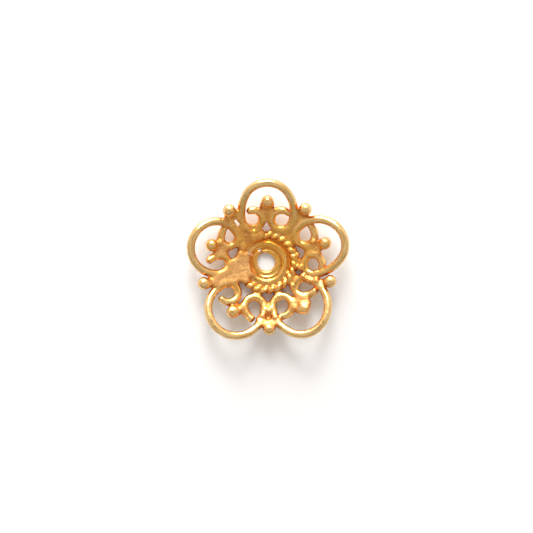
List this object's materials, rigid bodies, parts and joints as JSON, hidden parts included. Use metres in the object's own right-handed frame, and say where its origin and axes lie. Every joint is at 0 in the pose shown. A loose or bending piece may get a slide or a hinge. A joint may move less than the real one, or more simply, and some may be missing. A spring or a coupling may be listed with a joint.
{
  "type": "bead cap",
  "caption": "Filigree bead cap of looped wire petals with curled scrolls and granules round a ringed hub, for covering the end of a bead.",
  "frame": {"origin": "on the axis of the thread hole, in the plane of the hub's flat foot", "axes": "+Z along the thread hole out of the bowl's open side, +Y towards the petal that lies at the top of the picture"},
  "size_m": [0.014, 0.014, 0.0028],
  "materials": {
    "gold": "satin gold plate, worn and slightly uneven, matt where solder has run"
  },
  "bodies": {
    "root": {"bead_cap": "gold"}
  },
  "joints": []
}
